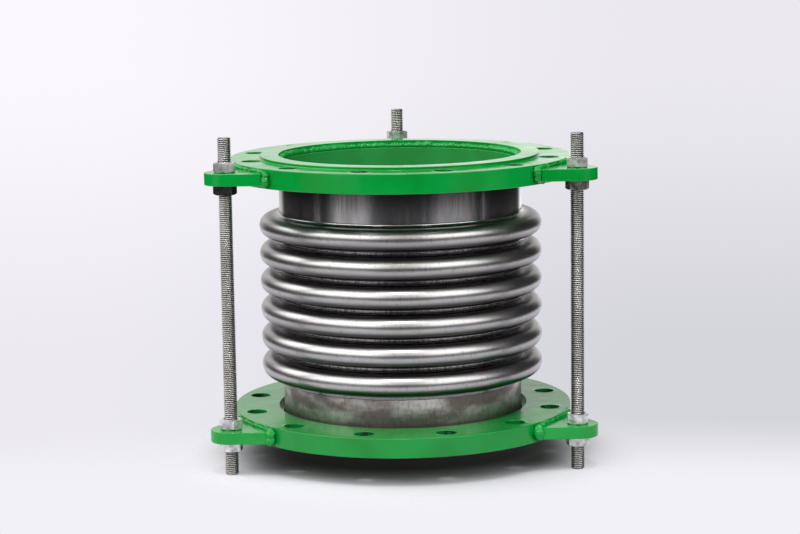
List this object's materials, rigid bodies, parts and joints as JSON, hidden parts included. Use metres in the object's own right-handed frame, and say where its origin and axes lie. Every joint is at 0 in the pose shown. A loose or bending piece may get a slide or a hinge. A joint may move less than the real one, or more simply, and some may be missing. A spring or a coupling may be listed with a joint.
{
  "type": "flanged bellows expansion joint",
  "caption": "Corrugated metal bellows between two drilled plate flanges, tied by threaded rods with nuts through welded lugs, to take up pipe movement.",
  "frame": {"origin": "centre of the lower flange's raised face, on the pipe axis", "axes": "+Z along the pipe axis, from the lower flange to the upper one; one tie rod stands on +Y"},
  "size_m": [0.5112, 0.521, 0.446],
  "materials": {
    "green_paint": "glossy enamel, brushed on",
    "stainless_steel": "rolled and polished",
    "pipe_steel": "dull, mottled mill finish",
    "rod_steel": "satin",
    "nut_steel": "bright, lightly worn"
  },
  "bodies": {
    "bottom_end": {"bottom_flange": "green_paint", "bottom_nozzle": "pipe_steel", "bellows": "stainless_steel", "bottom_lug_1": "green_paint", "bottom_lug_2": "green_paint", "bottom_lug_3": "green_paint", "tie_rod_1": "rod_steel", "tie_rod_2": "rod_steel", "tie_rod_3": "rod_steel", "bottom_outer_nut_1": "nut_steel", "bottom_outer_nut_2": "nut_steel", "bottom_outer_nut_3": "nut_steel", "bottom_inner_nut_1": "nut_steel", "bottom_inner_nut_2": "nut_steel", "bottom_inner_nut_3": "nut_steel"},
    "top_end": {"top_flange": "green_paint", "top_nozzle": "green_paint", "flow_liner": "pipe_steel", "top_lug_1": "green_paint", "top_lug_2": "green_paint", "top_lug_3": "green_paint"},
    "top_inner_nut_1": {"top_inner_nut_1": "nut_steel"},
    "top_inner_nut_2": {"top_inner_nut_2": "nut_steel"},
    "top_inner_nut_3": {"top_inner_nut_3": "nut_steel"},
    "top_outer_nut_1": {"top_outer_nut_1": "nut_steel"},
    "top_outer_nut_2": {"top_outer_nut_2": "nut_steel"},
    "top_outer_nut_3": {"top_outer_nut_3": "nut_steel"}
  },
  "joints": [
    {"name": "axial_travel", "type": "slide", "parent": "bottom_end", "child": "top_end", "axis": [0, 0, 1], "range_m": [-0.03, 0.02], "deforming": ["bellows"]},
    {"name": "turn_top_inner_nut_1", "type": "hinge", "parent": "top_end", "child": "top_inner_nut_1", "pos_m": [0, 0.264, 0.342], "axis": [0, 0, 1], "range_deg": [-4321, 2881]},
    {"name": "turn_top_inner_nut_2", "type": "hinge", "parent": "top_end", "child": "top_inner_nut_2", "pos_m": [-0.22863, -0.132, 0.342], "axis": [0, 0, 1], "range_deg": [-4321, 2881]},
    {"name": "turn_top_inner_nut_3", "type": "hinge", "parent": "top_end", "child": "top_inner_nut_3", "pos_m": [0.22863, -0.132, 0.342], "axis": [0, 0, 1], "range_deg": [-4321, 2881]},
    {"name": "turn_top_outer_nut_1", "type": "hinge", "parent": "top_end", "child": "top_outer_nut_1", "pos_m": [0, 0.264, 0.372], "axis": [0, 0, 1], "range_deg": [-4321, 2881]},
    {"name": "turn_top_outer_nut_2", "type": "hinge", "parent": "top_end", "child": "top_outer_nut_2", "pos_m": [-0.22863, -0.132, 0.372], "axis": [0, 0, 1], "range_deg": [-4321, 2881]},
    {"name": "turn_top_outer_nut_3", "type": "hinge", "parent": "top_end", "child": "top_outer_nut_3", "pos_m": [0.22863, -0.132, 0.372], "axis": [0, 0, 1], "range_deg": [-4321, 2881]}
  ],
  "couplings": [
    {"joint": "turn_top_inner_nut_1", "follows": "axial_travel", "rad_per_m": 2513.3},
    {"joint": "turn_top_inner_nut_2", "follows": "axial_travel", "rad_per_m": 2513.3},
    {"joint": "turn_top_inner_nut_3", "follows": "axial_travel", "rad_per_m": 2513.3},
    {"joint": "turn_top_outer_nut_1", "follows": "axial_travel", "rad_per_m": 2513.3},
    {"joint": "turn_top_outer_nut_2", "follows": "axial_travel", "rad_per_m": 2513.3},
    {"joint": "turn_top_outer_nut_3", "follows": "axial_travel", "rad_per_m": 2513.3}
  ]
}
